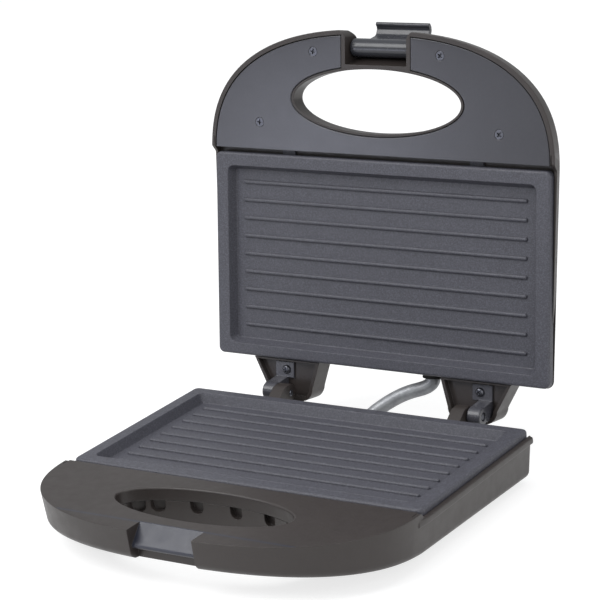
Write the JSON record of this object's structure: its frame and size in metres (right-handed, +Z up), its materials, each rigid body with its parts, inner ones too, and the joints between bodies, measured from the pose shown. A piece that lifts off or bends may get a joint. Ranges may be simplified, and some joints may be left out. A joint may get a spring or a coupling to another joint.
{
  "type": "sandwich toaster",
  "caption": "Electric sandwich toaster, open: D-shaped base and lid with ribbed cooking plates, rear ear hinges, oval finger grips and a flip-over latch.",
  "frame": {"origin": "middle of the bounding box of the open toaster, on the surface that the feet stand on", "axes": "+Z up, -Y towards the handle side of the base, +X to the right of a person who faces the handle; the cooking plates run along X and the open lid rises at the +Y side"},
  "size_m": [0.235, 0.2933, 0.2453],
  "materials": {
    "housing_plastic": "moulded dark grey, semi-matte",
    "cover_plastic": "moulded blue-grey, semi-matte",
    "latch_plastic": "moulded dark grey, glossy",
    "hinge_plastic": "moulded dark grey",
    "coated_plate": "cast aluminium with a fine-grained dark grey non-stick coating",
    "black_rubber": "matte",
    "white_ceramic": "unglazed",
    "red_lens": "clear red",
    "green_lens": "clear green",
    "grey_sleeve": "silver-grey heat-resistant sleeve",
    "element_sheath": "dark oxidised sheath",
    "bright_steel": "bright zinc plate"
  },
  "bodies": {
    "base": {"base_housing": "housing_plastic", "bottom_cover": "housing_plastic", "lower_cooking_plate": "coated_plate", "lower_heating_element": "element_sheath", "lower_element_clamps": "bright_steel", "lower_heat_reflector": "bright_steel", "lower_reflector_screws": "bright_steel", "lower_plate_screws": "bright_steel", "bottom_cover_screws": "bright_steel", "foot_front_left": "black_rubber", "foot_front_right": "black_rubber", "foot_rear_left": "black_rubber", "foot_rear_right": "black_rubber", "cord_gland": "black_rubber", "cord_clamp": "housing_plastic", "cord_clamp_screws": "bright_steel", "terminal_block": "white_ceramic", "base_conduit_grommet": "black_rubber", "wire_conduit": "grey_sleeve"},
    "lid": {"lid_housing": "housing_plastic", "lid_handle_cover": "cover_plastic", "handle_cover_screws": "bright_steel", "upper_cooking_plate": "coated_plate", "upper_heating_element": "element_sheath", "upper_element_clamps": "bright_steel", "upper_heat_reflector": "bright_steel", "upper_reflector_screws": "bright_steel", "upper_plate_screws": "bright_steel", "thermostat": "white_ceramic", "thermal_fuse": "bright_steel", "lamp_holder": "white_ceramic", "power_lens": "red_lens", "ready_lens": "green_lens", "hinge_bracket_left": "hinge_plastic", "hinge_bracket_right": "hinge_plastic", "hinge_bracket_screws": "bright_steel", "hinge_pin_left": "bright_steel", "hinge_pin_right": "bright_steel", "lid_conduit_grommet": "black_rubber", "latch_pin": "bright_steel"},
    "latch": {"latch_clip": "latch_plastic"}
  },
  "joints": [
    {"name": "lid_hinge", "type": "hinge", "parent": "base", "child": "lid", "pos_m": [0, 0.07393, 0.02803], "axis": [1, 0, 0], "range_deg": [0, 98.6], "deforming": ["wire_conduit"]},
    {"name": "latch_hinge", "type": "hinge", "parent": "lid", "child": "latch", "pos_m": [0, 0.12048, 0.23302], "axis": [1, 0, 0], "range_deg": [0, 136]}
  ]
}
